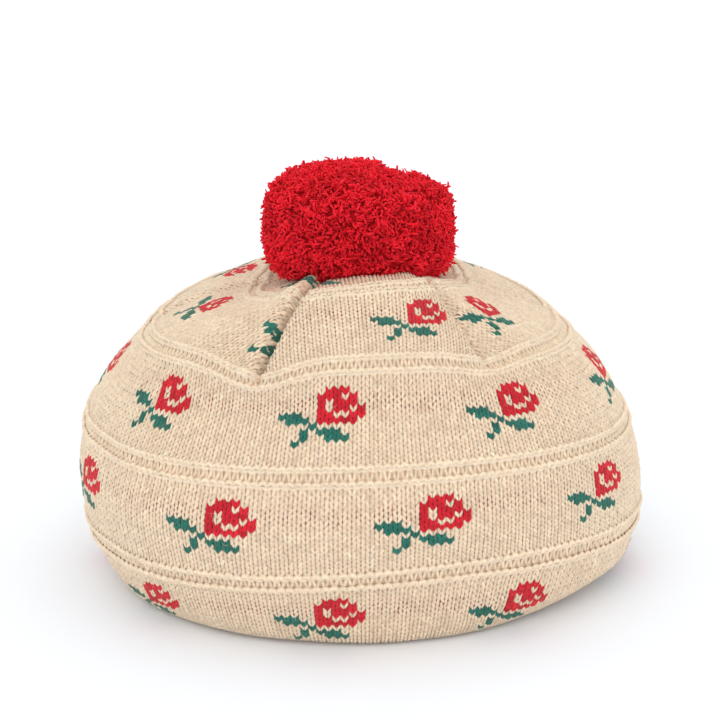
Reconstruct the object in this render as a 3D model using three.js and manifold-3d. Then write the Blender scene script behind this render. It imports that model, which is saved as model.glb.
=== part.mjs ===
// A knitted beret with a big yarn pompom, standing on its own underside as a stuffed beret does.
// Millimetres, +Z up, front towards -Y. The origin is under the middle of the hat, on the plane it rests on.
// The knitting is followed by its own thread counts: a "course" is one row of stitches, numbered from the
// first purl ridge by the pompom (0) outwards and down to the head opening, and a "wale" is one column.
import * as THREE from 'three';
import * as BufferGeometryUtils from 'three/addons/utils/BufferGeometryUtils.js';
import Module from 'manifold-3d';

const wasm = await Module();
wasm.setup();

// ---- the knitting ----
const WALES = 216; // stitches round the hat
const FABRIC = 2.5; // thickness of the double-faced jacquard, floats included
const RIDGE_HEIGHT = 1.2; // how far a purl ridge stands out
const RIDGE_PLACES = [-0.25, 2.5]; // courses from the start of each repeat to its two ridges
const COURSES_BETWEEN_RIDGE_PAIRS = 20;
const RIDGE_PAIRS = 4;
const APEX_COURSE = -22;
const LAST_COURSE = 93;
const CROWN_COURSE = 20; // the darts end here

// Wales are spread a little wider across the front: degrees turned from the -Y axis by wale 0, and how
// far the spread pushes the wales on either side.
const WALE_ZERO_TURN = -5.5;
const FRONT_SPREAD = 6;
const FRONT_DRIFT = 4;

// The hat's shape: one row for each course line, radii and heights at its front, right, back and left,
// and how much the front right and back left stand out past those (skew), for radius and height.
const SECTIONS = [
  {
    course: -22, front: 2, right: 2, back: 2, left: 2, skew: 0,
    zFront: 153, zRight: 153, zBack: 153, zLeft: 153, zSkew: 0,
  },
  {
    course: -14, front: 30, right: 19, back: 30, left: 21, skew: -2,
    zFront: 157.5, zRight: 153, zBack: 157, zLeft: 152, zSkew: 0.5,
  },
  {
    course: 0, front: 64, right: 46.5, back: 61.5, left: 50.5, skew: -3.5,
    zFront: 157, zRight: 144.5, zBack: 157.5, zLeft: 143, zSkew: 2,
  },
  {
    course: 10, front: 86, right: 68, back: 84, left: 76, skew: -2,
    zFront: 148, zRight: 136.5, zBack: 148, zLeft: 138.5, zSkew: 1,
  },
  {
    course: 20, front: 104, right: 96, back: 102.5, left: 104, skew: -3,
    zFront: 135, zRight: 124.5, zBack: 137.5, zLeft: 126.5, zSkew: 0.5,
  },
  {
    course: 30, front: 109.5, right: 117, back: 116, left: 125, skew: 0.5,
    zFront: 111.5, zRight: 105.5, zBack: 117, zLeft: 105, zSkew: 0.5,
  },
  {
    course: 40, front: 118.5, right: 130, back: 124, left: 138, skew: 0,
    zFront: 88.5, zRight: 82, zBack: 93, zLeft: 82.5, zSkew: 2,
  },
  {
    course: 50, front: 124.5, right: 138, back: 130, left: 142.5, skew: -3,
    zFront: 64, zRight: 58.5, zBack: 68, zLeft: 60.5, zSkew: 3,
  },
  {
    course: 60, front: 122, right: 139.5, back: 128, left: 139, skew: -3,
    zFront: 40.5, zRight: 33.5, zBack: 43, zLeft: 34, zSkew: 4,
  },
  {
    course: 68, front: 117, right: 135, back: 123, left: 131, skew: -4.5,
    zFront: 21.5, zRight: 10.5, zBack: 23, zLeft: 12.5, zSkew: 1.5,
  },
  {
    course: 76, front: 110, right: 120.5, back: 114, left: 122, skew: -3,
    zFront: 3, zRight: 5.5, zBack: 4, zLeft: 0, zSkew: -1.5,
  },
  {
    course: 80, front: 101, right: 109, back: 105, left: 111, skew: 0,
    zFront: 0, zRight: 3, zBack: 0, zLeft: 0, zSkew: -0.5,
  },
  {
    course: 84, front: 92, right: 97, back: 94, left: 98, skew: 0,
    zFront: 0, zRight: 0.5, zBack: 0, zLeft: 0, zSkew: 0,
  },
  {
    course: 89, front: 82, right: 83, back: 82, left: 83, skew: 0,
    zFront: 7, zRight: 7, zBack: 7, zLeft: 7, zSkew: 0,
  },
  {
    course: 93, front: 78, right: 78, back: 78, left: 78, skew: 0,
    zFront: 20, zRight: 20, zBack: 20, zLeft: 20, zSkew: 0,
  },
];

// The darts that draw the crown in: the wale where each ends, how deep its crease is, how high the
// panel on its left rolls over it, and how far the dart pulls the fabric down at its foot.
const DARTS = [
  { wale: -88, crease: 2.5, roll: 1, sag: 3 },
  { wale: -52, crease: 2, roll: 1, sag: 2 },
  { wale: -11.5, crease: 3.5, roll: 3.5, sag: 9.5 },
  { wale: 21, crease: 3.5, roll: 0.5, sag: 4.5 },
  { wale: 60, crease: 2, roll: 1, sag: 2 },
  { wale: 96, crease: 2.5, roll: 1.5, sag: 3 },
];
const CREASE_WIDTH = 4; // mm across the dart's crease
const ROLL_OFFSET = 6.5; // mm from the crease to the top of the rolled edge
const ROLL_WIDTH = 5;
const SAG_SPREAD = 11; // degrees
const SAG_COURSES = 10;
const DART_RUN_OUT = 3; // courses over which a dart fades below the crown
const APEX_RUN_IN = 10; // courses over which the darts grow out of the apex

// Soft dents and swellings: course and turn (degrees, right is positive) of the middle, how far each
// reaches, and its depth (a swelling is negative).
const DENTS = [
  { course: 41, turn: -66, courses: 3, spread: 7, depth: 1.8 },
  { course: 52, turn: -62, courses: 9, spread: 6, depth: 1.5 },
  { course: 17, turn: 38, courses: 5, spread: 6, depth: 2.5 },
];

// ---- the ribbed band at the head opening ----
const BAND_OUTER = 77.2;
const BAND_WALL = 3.2; // the band is knitted double
const BAND_TOP = 26;
const BAND_RIBS = 36;
const RIB_DEPTH = 0.8;
const BAND_PLAIN_TOP = 19; // the ribs start below the seam to the hat
const RIB_RUN_IN = 2;

// ---- the pompom ----
const POM = { x: -1, y: 0, z: 174.5, radius: 43.5, halfHeight: 26 };
const POM_SQUARENESS = 3.2; // 2 is an ellipsoid, more is boxier
const POM_LOCKS = 62;
const LOCK_RADIUS = 9;
const LOCK_REACH = 3.2; // how far a lock stands out of the ball
const LOCK_ROOT = 11; // how deep a lock is rooted in the ball
const LOCK_SIDES = 5;
const LOCK_LEAN = 1.6;
const LOCKS_DOWN_TO = -0.72; // the underside, pressed flat on the crown, has none
const LOCK_FLATTENING = 0.7; // the locks' directions follow the flattened ball
const POM_NOTCH = { turn: 75, depth: 7, spread: 38 }; // the shoulder at the top right is lower
const SEAT_GAP = 0.45; // between the pompom and the mesh of the crown
const SEAT_FOOT = 100; // the tool that cuts the seat reaches down to this height

const COLOURS = { knit: 0xe9d9bd, band: 0xe6d6ba, pompom: 0xb50f1c };

const radians = THREE.MathUtils.degToRad;
const bell = (x) => Math.exp(-x * x);

function turnOfWale(wale) {
  const turn = (360 / WALES) * wale;
  const spread = FRONT_SPREAD * Math.sin(radians(turn)) + FRONT_DRIFT * (1 - Math.cos(radians(turn)));
  return radians(WALE_ZERO_TURN + turn + spread);
}

// A smooth curve through one column of SECTIONS.
function column(key, course) {
  let i = 0;
  while (i < SECTIONS.length - 2 && course > SECTIONS[i + 1].course) i += 1;
  const slope = (j) => {
    const a = SECTIONS[Math.max(j - 1, 0)];
    const b = SECTIONS[Math.min(j + 1, SECTIONS.length - 1)];
    return (b[key] - a[key]) / (b.course - a.course);
  };
  const from = SECTIONS[i];
  const to = SECTIONS[i + 1];
  const span = to.course - from.course;
  const t = THREE.MathUtils.clamp((course - from.course) / span, 0, 1);
  return (
    from[key] * (1 + 2 * t) * (1 - t) ** 2 +
    to[key] * t * t * (3 - 2 * t) +
    slope(i) * span * t * (1 - t) ** 2 -
    slope(i + 1) * span * t * t * (1 - t)
  );
}

// Goes round from the front, right, back and left values with the skew added between them.
function around(front, right, back, left, skew, turn) {
  return (
    (front + right + back + left) / 4 +
    ((front - back) / 2) * Math.cos(turn) +
    ((right - left) / 2) * Math.sin(turn) +
    ((front + back - right - left) / 4) * Math.cos(2 * turn) +
    skew * Math.sin(2 * turn)
  );
}

// The smooth outside of the hat, before ridges and creases: [radius, height].
function smoothSection(course, turn) {
  const value = (key) => column(key, course);
  const radius = around(value('front'), value('right'), value('back'), value('left'), value('skew'), turn);
  let height = around(
    value('zFront'), value('zRight'), value('zBack'), value('zLeft'), value('zSkew'), turn,
  );
  for (const dart of DARTS) {
    const away = turnDifference(turn, turnOfWale(dart.wale)) / radians(SAG_SPREAD);
    height -= dart.sag * bell(away) * bell((course - CROWN_COURSE + 1) / SAG_COURSES);
  }
  return new THREE.Vector2(radius, height);
}

function turnDifference(a, b) {
  return Math.atan2(Math.sin(a - b), Math.cos(a - b));
}

// How far the surface stands out of (or into) the smooth shape: ridges, dart creases and dents.
function relief(course, turn, radius) {
  let out = 0;
  for (let pair = 0; pair < RIDGE_PAIRS; pair += 1) {
    for (const ridge of RIDGE_PLACES) {
      const away = Math.abs(course - pair * COURSES_BETWEEN_RIDGE_PAIRS - ridge);
      out += RIDGE_HEIGHT * Math.max(0, 1 - away);
    }
  }
  const fade = 1 - THREE.MathUtils.smoothstep(course, CROWN_COURSE - 1, CROWN_COURSE + DART_RUN_OUT);
  const middle = THREE.MathUtils.smoothstep(course, APEX_COURSE, APEX_COURSE + APEX_RUN_IN);
  for (const dart of DARTS) {
    const away = turnDifference(turn, turnOfWale(dart.wale)) * radius;
    out -= fade * middle * dart.crease * bell(away / CREASE_WIDTH);
    out += fade * middle * dart.roll * bell((away + ROLL_OFFSET) / ROLL_WIDTH);
  }
  for (const dent of DENTS) {
    const along = (course - dent.course) / dent.courses;
    const across = turnDifference(turn, radians(dent.turn)) / radians(dent.spread);
    out -= dent.depth * bell(along) * bell(across);
  }
  return out;
}

// A point of the hat, `inward` mm inside its outer face. What would pass the floor is flattened on it.
function hatPoint(course, turn, inward = 0) {
  const step = 0.5;
  const here = smoothSection(course, turn);
  const before = smoothSection(Math.max(course - step, APEX_COURSE), turn);
  const after = smoothSection(Math.min(course + step, LAST_COURSE), turn);
  const along = after.clone().sub(before).normalize();
  const normal = new THREE.Vector2(-along.y, along.x);
  const offset = relief(course, turn, here.x) - inward;
  const radius = Math.max(here.x + normal.x * offset, 0);
  const height = Math.max(here.y + normal.y * offset, inward);
  return new THREE.Vector3(radius * Math.sin(turn), -radius * Math.cos(turn), height);
}

// Turns of the mesh columns: close together at each dart, wider across the panels.
function columnTurns() {
  const places = [0, 0.04, 0.12, 0.26, 0.42, 0.58, 0.74, 0.88, 0.96];
  const turns = [];
  DARTS.forEach((dart, i) => {
    const next = DARTS[(i + 1) % DARTS.length];
    const span = (next.wale - dart.wale + WALES) % WALES;
    for (const place of places) turns.push(turnOfWale(dart.wale + place * span));
  });
  return turns;
}

// Courses of the mesh rows on the outside: the ridges have rows of their own.
function rowCourses() {
  const rows = [-18, -14, -9, -4];
  for (let pair = 0; pair < RIDGE_PAIRS; pair += 1) {
    const first = pair * COURSES_BETWEEN_RIDGE_PAIRS;
    const [upper, lower] = RIDGE_PLACES.map((place) => first + place);
    rows.push(upper - 1, upper, (upper + lower) / 2, lower, lower + 1, first + 8.5, first + 14);
  }
  rows.push(71, 74, 77, 80, 83.5, 86, 89, LAST_COURSE);
  return [...new Set(rows)].sort((a, b) => a - b);
}

// A closed body from rings of points that run from one pole to another.
function bodyFromRings(firstPole, rings, lastPole) {
  const count = rings[0].length;
  const points = [firstPole, ...rings.flat(), lastPole];
  const ring = (i) => 1 + i * count;
  const last = points.length - 1;
  const triangles = [];
  for (let j = 0; j < count; j += 1) {
    const k = (j + 1) % count;
    triangles.push(0, ring(0) + j, ring(0) + k);
    for (let i = 0; i < rings.length - 1; i += 1) {
      triangles.push(ring(i) + j, ring(i + 1) + j, ring(i + 1) + k);
      triangles.push(ring(i) + j, ring(i + 1) + k, ring(i) + k);
    }
    triangles.push(ring(rings.length - 1) + j, last, ring(rings.length - 1) + k);
  }
  return geometryOf(points, triangles);
}

function geometryOf(points, triangles) {
  const geometry = new THREE.BufferGeometry();
  geometry.setAttribute('position', new THREE.Float32BufferAttribute(points.flatMap((p) => p.toArray()), 3));
  geometry.setIndex(triangles);
  return geometry;
}

function knitBodyGeometry() {
  const turns = columnTurns();
  const outer = rowCourses().map((course) => turns.map((turn) => hatPoint(course, turn)));
  const innerCourses = [LAST_COURSE, 89, 84, 78, 71, 62, 52, 42, 32, 24, 17, 8, -3, -13];
  const inner = innerCourses.map((course) => turns.map((turn) => hatPoint(course, turn, FABRIC)));
  const top = new THREE.Vector3(0, 0, hatPoint(APEX_COURSE, 0).z);
  const under = new THREE.Vector3(0, 0, top.z - FABRIC);
  return bodyFromRings(top, [...outer, ...inner], under);
}

// A plain ribbed tube: knit ribs stand out, purl furrows lie back, inside and outside alike.
function ribBandGeometry() {
  const columns = BAND_RIBS * 2;
  const wave = (j, z) => (j % 2 && z < BAND_PLAIN_TOP ? -RIB_DEPTH : 0);
  const inner = BAND_OUTER - BAND_WALL;
  const levels = [
    { radius: BAND_OUTER, z: BAND_TOP, side: 1 },
    { radius: BAND_OUTER, z: BAND_PLAIN_TOP, side: 1 },
    { radius: BAND_OUTER, z: BAND_PLAIN_TOP - RIB_RUN_IN, side: 1 },
    { radius: BAND_OUTER, z: 0, side: 1 },
    { radius: inner, z: 0, side: -1 },
    { radius: inner, z: BAND_PLAIN_TOP - RIB_RUN_IN, side: -1 },
    { radius: inner, z: BAND_TOP, side: -1 },
  ];
  const points = [];
  const triangles = [];
  for (const { radius, z, side } of levels) {
    for (let j = 0; j < columns; j += 1) {
      const turn = (j / columns) * 2 * Math.PI;
      const r = radius + wave(j, z) * side;
      points.push(new THREE.Vector3(r * Math.sin(turn), -r * Math.cos(turn), z));
    }
  }
  for (let i = 0; i < levels.length; i += 1) {
    const a = i * columns;
    const b = ((i + 1) % levels.length) * columns;
    for (let j = 0; j < columns; j += 1) {
      const k = (j + 1) % columns;
      triangles.push(a + j, b + j, b + k, a + j, b + k, a + k);
    }
  }
  return geometryOf(points, triangles);
}

// ---- booleans ----
function solidOf(geometry) {
  geometry.deleteAttribute('normal');
  geometry.deleteAttribute('uv');
  const merged = BufferGeometryUtils.mergeVertices(geometry, 1e-4);
  return new wasm.Manifold(
    new wasm.Mesh({
      numProp: 3,
      vertProperties: merged.attributes.position.array,
      triVerts: new Uint32Array(merged.index.array),
    }),
  );
}

function geometryOfSolid(solid) {
  const mesh = solid.getMesh();
  const geometry = new THREE.BufferGeometry();
  geometry.setAttribute('position', new THREE.BufferAttribute(new Float32Array(mesh.vertProperties), 3));
  geometry.setIndex(new THREE.BufferAttribute(new Uint32Array(mesh.triVerts), 1));
  return geometry;
}

// How far the pompom's ball reaches in a direction.
function pomReach(direction) {
  const p = POM_SQUARENESS;
  const level = Math.hypot(direction.x, direction.y) / POM.radius;
  const up = Math.abs(direction.z) / POM.halfHeight;
  const reach = (level ** p + up ** p) ** (-1 / p);
  const turn = Math.atan2(direction.x, -direction.y);
  const shoulder = bell(turnDifference(turn, radians(POM_NOTCH.turn)) / radians(POM_NOTCH.spread));
  const lift = THREE.MathUtils.smoothstep(direction.z, 0.15, 0.75);
  return reach - POM_NOTCH.depth * shoulder * lift;
}

function pomCore() {
  const ball = new THREE.IcosahedronGeometry(1, 3);
  const place = ball.attributes.position;
  const point = new THREE.Vector3();
  for (let i = 0; i < place.count; i += 1) {
    point.fromBufferAttribute(place, i).normalize();
    point.multiplyScalar(pomReach(point));
    place.setXYZ(i, point.x, point.y, point.z);
  }
  return solidOf(ball);
}

// One lock: a short blunt tuft of cut yarn that stands out along `direction`.
function pomLock(direction, index) {
  const base = direction.clone().multiplyScalar(pomReach(direction));
  const across = new THREE.Vector3(-direction.y, direction.x, 0.2).normalize();
  const other = direction.clone().cross(across).normalize();
  across.crossVectors(other, direction);
  const lean = across.clone().multiplyScalar(LOCK_LEAN * Math.sin(index * 2.4));
  const rings = [
    { out: 2 - LOCK_ROOT, radius: LOCK_RADIUS * 0.7 },
    { out: 0.2, radius: LOCK_RADIUS },
    { out: LOCK_REACH * 0.75, radius: LOCK_RADIUS * 0.6 },
  ].map(({ out, radius }, level) =>
    Array.from({ length: LOCK_SIDES }, (_, j) => {
      const angle = ((j + index * 0.37) / LOCK_SIDES) * 2 * Math.PI;
      return base
        .clone()
        .addScaledVector(direction, out)
        .addScaledVector(lean, level / 2)
        .addScaledVector(across, radius * Math.cos(angle))
        .addScaledVector(other, radius * Math.sin(angle));
    }),
  );
  const foot = base.clone().addScaledVector(direction, -LOCK_ROOT);
  const tip = base.clone().addScaledVector(direction, LOCK_REACH).add(lean);
  const solid = solidOf(bodyFromRings(foot, rings, tip));
  if (solid.volume() > 0) return solid;
  return solidOf(bodyFromRings(tip, rings.slice().reverse(), foot));
}

// What the pompom is pressed on: the crown grown by the seat gap, down to well below the pompom.
function crownSeat() {
  const turns = columnTurns();
  const rings = [-18, -14, -9, -4, -1, 0, 1, 2, 3, 8, 14].map((course) =>
    turns.map((turn) => hatPoint(course, turn, -SEAT_GAP)),
  );
  const floor = rings[rings.length - 1].map((p) => new THREE.Vector3(p.x, p.y, SEAT_FOOT));
  const top = new THREE.Vector3(0, 0, hatPoint(APEX_COURSE, 0).z + SEAT_GAP);
  return solidOf(bodyFromRings(top, [...rings, floor], new THREE.Vector3(0, 0, SEAT_FOOT)));
}

function pompomGeometry() {
  const golden = Math.PI * (3 - Math.sqrt(5));
  let ball = pomCore();
  for (let i = 0; i < POM_LOCKS; i += 1) {
    const z = 1 - ((i + 0.5) / POM_LOCKS) * (1 - LOCKS_DOWN_TO);
    const level = Math.sqrt(Math.max(0, 1 - z * z));
    const turn = i * golden;
    const direction = new THREE.Vector3(
      level * Math.sin(turn), -level * Math.cos(turn), z * LOCK_FLATTENING,
    ).normalize();
    ball = ball.add(pomLock(direction, i));
  }
  ball = ball.translate([POM.x, POM.y, POM.z]).subtract(crownSeat());
  return geometryOfSolid(ball);
}

// ---- the scene graph ----
function piece(name, geometry, colour, roughness) {
  geometry.computeVertexNormals();
  const material = new THREE.MeshStandardMaterial({ color: colour, roughness, metalness: 0 });
  const mesh = new THREE.Mesh(geometry, material);
  mesh.name = name;
  return mesh;
}

const knitBody = piece('knit_body', knitBodyGeometry(), COLOURS.knit, 0.95);
const ribBand = piece('rib_band', ribBandGeometry(), COLOURS.band, 0.95);
const pompom = piece('pompom', pompomGeometry(), COLOURS.pompom, 1);

// The hat is set so that the middle of its plan is over the origin.
const hat = new THREE.Group();
hat.add(knitBody, ribBand, pompom);
const plan = new THREE.Box3().setFromObject(hat);
const middle = plan.getCenter(new THREE.Vector3());
hat.position.set(-middle.x, -middle.y, 0);
hat.updateMatrixWorld(true);

const beret = new THREE.Group();
beret.add(hat);
export default beret;
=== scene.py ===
"""A knitted beret with a big crimson pompom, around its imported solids.

Its stitches, purl ridges, rose sprigs and yarn ends are all geometry. Lengths are in mm until points() or a
piece's last step turns them into metres; turns go round from the front (-Y) to the right (+X).
"""

import math

import bpy
import numpy as np
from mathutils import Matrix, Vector


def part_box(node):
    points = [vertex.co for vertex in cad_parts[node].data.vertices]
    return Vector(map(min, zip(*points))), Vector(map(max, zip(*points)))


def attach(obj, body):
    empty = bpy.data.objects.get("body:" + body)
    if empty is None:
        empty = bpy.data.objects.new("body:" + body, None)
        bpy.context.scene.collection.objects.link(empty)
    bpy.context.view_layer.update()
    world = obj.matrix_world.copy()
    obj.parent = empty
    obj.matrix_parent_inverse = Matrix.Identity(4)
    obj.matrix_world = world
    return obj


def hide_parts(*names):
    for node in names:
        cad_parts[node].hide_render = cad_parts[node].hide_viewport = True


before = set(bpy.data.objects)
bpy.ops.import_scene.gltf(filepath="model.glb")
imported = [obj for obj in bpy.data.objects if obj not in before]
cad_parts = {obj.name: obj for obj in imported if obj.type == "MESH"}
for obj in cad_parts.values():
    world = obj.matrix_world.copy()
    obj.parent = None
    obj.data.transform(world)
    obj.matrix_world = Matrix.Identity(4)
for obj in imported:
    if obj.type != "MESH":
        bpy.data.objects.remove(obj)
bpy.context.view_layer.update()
BAND_LOW, BAND_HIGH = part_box("rib_band")
AXIS = (BAND_LOW + BAND_HIGH) / 2  # the band is centred on the hat's own axis
MM = 0.001
rng = np.random.default_rng(20)

# ---- the knitting, in stitches and millimetres: sections and dents as the solids have them ----
WALES = 216
REPEAT = 20  # courses from one pair of ridges to the next
# where the 19 rows of stitches of a repeat lie in its 20 courses: the ridges at the first and third of them
ROW_PLACES = np.array([-0.25, 1.15, 2.5, 3.65, 4.75, 5.8, 6.85, 7.9, 8.95, 10, 11.05, 12.1, 13.15, 14.2,
                       15.25, 16.15, 17.05, 17.95, 18.85])
ROWS = len(ROW_PLACES)
RIDGE_ROWS = (0, 2)
RIDGE_HEIGHT = 1.1
RIDGE_WIDTH = 0.75  # courses
RIDGE_PAIRS = 4
APEX_COURSE = -22
LAST_COURSE = 93
CROWN_COURSE = 20
WALE_ZERO_TURN = -5.5  # degrees
FRONT_SPREAD = 6  # degrees that the front's wales are drawn out to the sides
FRONT_DRIFT = 4  # degrees that the wales at the sides are turned on, and those at the back twice
FABRIC = 2.5  # thickness of the wall
FLOOR_GAP = 0.25  # what lies on the floor clears it by this

# the smooth outer face: radius and height at the front, right, back and left for a few courses
COLUMNS = ("course", "front", "right", "back", "left", "skew", "zFront", "zRight", "zBack", "zLeft", "zSkew")
SECTIONS = np.array([
    (-22, 2, 2, 2, 2, 0, 153, 153, 153, 153, 0),
    (-14, 30, 19, 30, 21, -2, 157.5, 153, 157, 152, 0.5),
    (0, 64, 46.5, 61.5, 50.5, -3.5, 157, 144.5, 157.5, 143, 2),
    (10, 86, 68, 84, 76, -2, 148, 136.5, 148, 138.5, 1),
    (20, 104, 96, 102.5, 104, -3, 135, 124.5, 137.5, 126.5, 0.5),
    (30, 109.5, 117, 116, 125, 0.5, 111.5, 105.5, 117, 105, 0.5),
    (40, 118.5, 130, 124, 138, 0, 88.5, 82, 93, 82.5, 2),
    (50, 124.5, 138, 130, 142.5, -3, 64, 58.5, 68, 60.5, 3),
    (60, 122, 139.5, 128, 139, -3, 40.5, 33.5, 43, 34, 4),
    (68, 117, 135, 123, 131, -4.5, 21.5, 10.5, 23, 12.5, 1.5),
    (76, 110, 120.5, 114, 122, -3, 3, 5.5, 4, 0, -1.5),
    (80, 101, 109, 105, 111, 0, 0, 3, 0, 0, -0.5),
    (84, 92, 97, 94, 98, 0, 0, 0.5, 0, 0, 0),
    (89, 82, 83, 82, 83, 0, 7, 7, 7, 7, 0),
    (93, 78, 78, 78, 78, 0, 20, 20, 20, 20, 0),
], float)

# wale where the dart ends, depth and width of its crease, height of the roll on its left, pull at its foot;
# the creases are narrower than the solids', and the one at the front left is deeper
DARTS = np.array([
    (-88, 2.5, 2.5, 1, 3),
    (-52, 2, 2.5, 1, 2),
    (-11.5, 5.5, 1.7, 2.8, 9.5),
    (21, 3.2, 2.4, 0.5, 4.5),
    (60, 2, 2.5, 1, 2),
    (96, 2.5, 2.5, 1.5, 3),
], float)
ROLL_OFFSET = 6.5
ROLL_WIDTH = 5
SAG_SPREAD = 11  # degrees
SAG_COURSES = 10
SAG_ABOVE = 1  # courses above the crown's edge where it is deepest
DART_RUN_OUT = 3  # courses
APEX_RUN_IN = 10  # courses
DART_OVERLAP = 0.3  # wales that a panel's edge laps over its dart
KEEP_START = -26  # a crown panel would have no wales left at this course
KEEP_LEAST = 0.03  # but the share of them that is left is never smaller
PANEL_REACH = 1.5  # half widths from a panel's middle that can still be placed on it

# soft dents: course, turn, spread in courses, spread in degrees, depth
DENTS = ((41, -66, 3, 7, 1.8), (52, -62, 9, 6, 1.5), (17, 38, 5, 6, 2.5))
# the small unevenness of hand-finished knitting: height, waves round, turn of a wave for each course, phase
UNEVEN = ((0.22, 5, 0.23, 1), (0.16, 13, -0.31, 0))

# the rose sprig, row by row from its top: - cream, R rose red, G leaf green
SPRIG = (
    "------RRR--",
    "-----RRR-R-",
    "-----R-RRR-",
    "-----R-RR-R",
    "GGG--RR--RR",
    "-GGG-RRRRR-",
    "----G------",
    "---G-GGG---",
    "---G--GGG--",
    "--G--------",
)
SPRIG_KINDS = np.array([["-RG".index(stitch) for stitch in text] for text in SPRIG])
SPRIG_FIRST = 5  # rows from the upper ridge of the pair above it
SPRIG_EVERY = 24  # wales
SPRIG_LEFT = 7.5  # wales from its first column to the middle of the flower
# between which wales of the crown a sprig sits aside of its place, and how many wales to the left
CROWN_DRIFTS = ((21, 46, 2), (-30, -11.5, -2), (-88, -52, 8))
CROWN_PLAIN = (46, 60)  # the crown's wales that show no sprig


def bell(x):
    """1 at 0, and soon nothing."""
    return np.exp(-x * x)


def smoothstep(x, low, high):
    """0 up to low, 1 from high on, smooth between."""
    t = np.clip((x - low) / (high - low), 0, 1)
    return t * t * (3 - 2 * t)


def between(x, ends):
    return (x >= ends[0]) & (x <= ends[1])


def linear(*srgb):
    """A colour given in levels of 255, in linear light."""
    c = np.array(srgb, float) / 255
    return np.where(c <= 0.04045, c / 12.92, ((c + 0.055) / 1.055) ** 2.4)


def turn_of_wale(wale):
    turn = np.radians(360 / WALES * wale)
    spread = FRONT_SPREAD * np.sin(turn) + FRONT_DRIFT * (1 - np.cos(turn))
    return np.radians(WALE_ZERO_TURN + spread) + turn


def column(name, course):
    """A smooth curve through one column of SECTIONS."""
    x, y = SECTIONS[:, 0], SECTIONS[:, COLUMNS.index(name)]
    n = len(x)
    j = np.arange(n)
    after, before = np.minimum(j + 1, n - 1), np.maximum(j - 1, 0)
    slope = (y[after] - y[before]) / (x[after] - x[before])
    course = np.clip(course, x[0], x[-1])
    i = np.clip(np.searchsorted(x, course, side="right") - 1, 0, n - 2)
    span = x[i + 1] - x[i]
    t = (course - x[i]) / span
    return (y[i] * (1 + 2 * t) * (1 - t) ** 2 + y[i + 1] * t * t * (3 - 2 * t)
            + slope[i] * span * t * (1 - t) ** 2 - slope[i + 1] * span * t * t * (1 - t))


def around(front, right, back, left, skew, turn):
    """A smooth ring through its values in four directions; the skew pulls it towards one diagonal."""
    return ((front + right + back + left) / 4 + (front - back) / 2 * np.cos(turn)
            + (right - left) / 2 * np.sin(turn) + (front + back - right - left) / 4 * np.cos(2 * turn)
            + skew * np.sin(2 * turn))


def turn_difference(a, b):
    """From b to a the short way round."""
    return np.arctan2(np.sin(a - b), np.cos(a - b))


def smooth_section(course, turn):
    """Radius and height of the face without its relief, with the sag at the foot of each dart."""
    radius = around(*(column(k, course) for k in COLUMNS[1:6]), turn)
    height = around(*(column(k, course) for k in COLUMNS[6:]), turn)
    for wale, _, _, _, sag in DARTS:
        away = turn_difference(turn, turn_of_wale(wale)) / math.radians(SAG_SPREAD)
        height = height - sag * bell(away) * bell((course - CROWN_COURSE + SAG_ABOVE) / SAG_COURSES)
    return radius, height


def relief(course, turn, radius):
    """Dart creases, the rolls beside them, soft dents, purl ridges and unevenness."""
    out = np.zeros_like(radius)
    fade = 1 - smoothstep(course, CROWN_COURSE - 1, CROWN_COURSE + DART_RUN_OUT)
    fade = fade * smoothstep(course, APEX_COURSE, APEX_COURSE + APEX_RUN_IN)
    for wale, crease, width, roll, _ in DARTS:
        away = turn_difference(turn, turn_of_wale(wale)) * radius
        out += fade * (roll * bell((away + ROLL_OFFSET) / ROLL_WIDTH) - crease * bell(away / width))
    for at, turned, courses, spread, depth in DENTS:
        across = turn_difference(turn, math.radians(turned)) / math.radians(spread)
        out -= depth * bell((course - at) / courses) * bell(across)
    for pair in range(RIDGE_PAIRS):
        for row in RIDGE_ROWS:
            out += RIDGE_HEIGHT * bell((course - pair * REPEAT - ROW_PLACES[row]) / RIDGE_WIDTH)
    out += sum(rise * np.sin(waves * turn + along * course + phase) for rise, waves, along, phase in UNEVEN)
    return out


def course_of_row(row):
    band = np.floor_divide(row, ROWS)
    return band * REPEAT + ROW_PLACES[row - band * ROWS]


def row_of_course(course):
    rows = np.arange(-2 * ROWS, 6 * ROWS)
    return np.round(np.interp(course, course_of_row(rows), rows)).astype(int)


def panel_of(wale):
    """Middle wale and half width of the crown panel that a wale belongs to."""
    w = (np.asarray(wale, float) - DARTS[0, 0]) % WALES + DARTS[0, 0]
    ends = np.append(DARTS[:, 0], DARTS[0, 0] + WALES)
    i = np.clip(np.searchsorted(ends, w, side="right") - 1, 0, len(DARTS) - 1)
    return (ends[i] + ends[i + 1]) / 2, (ends[i + 1] - ends[i]) / 2, w


def kept(course):
    """The share of a crown panel's wales that is left at a course: the darts cut off the rest."""
    return np.clip((course - KEEP_START) / (CROWN_COURSE - KEEP_START), KEEP_LEAST, 1)


def turn_on_panel(course, wale, middle, half):
    """Turn of a wale: the wales that a crown panel still has at a course share out its whole width."""
    across = np.clip((wale - middle) / (half * kept(course)), -PANEL_REACH, PANEL_REACH)
    inside = middle + across * half
    return turn_of_wale(np.where(course < CROWN_COURSE, inside, wale))


def place(course, turn, out):
    """Radius and height `out` mm off the outer face, and the length of a course there."""
    step = 0.5
    radius, height = smooth_section(course, turn)
    r0, z0 = smooth_section(np.maximum(course - step, APEX_COURSE), turn)
    r1, z1 = smooth_section(np.minimum(course + step, LAST_COURSE), turn)
    length = np.hypot(r1 - r0, z1 - z0)
    nr, nz = -(z1 - z0) / length, (r1 - r0) / length
    offset = relief(course, turn, radius) + out
    radius = np.maximum(radius + nr * offset, 0)
    height = height + nz * offset
    return radius, np.maximum(height, FLOOR_GAP - np.minimum(out, 0)), length / step / 2


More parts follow.
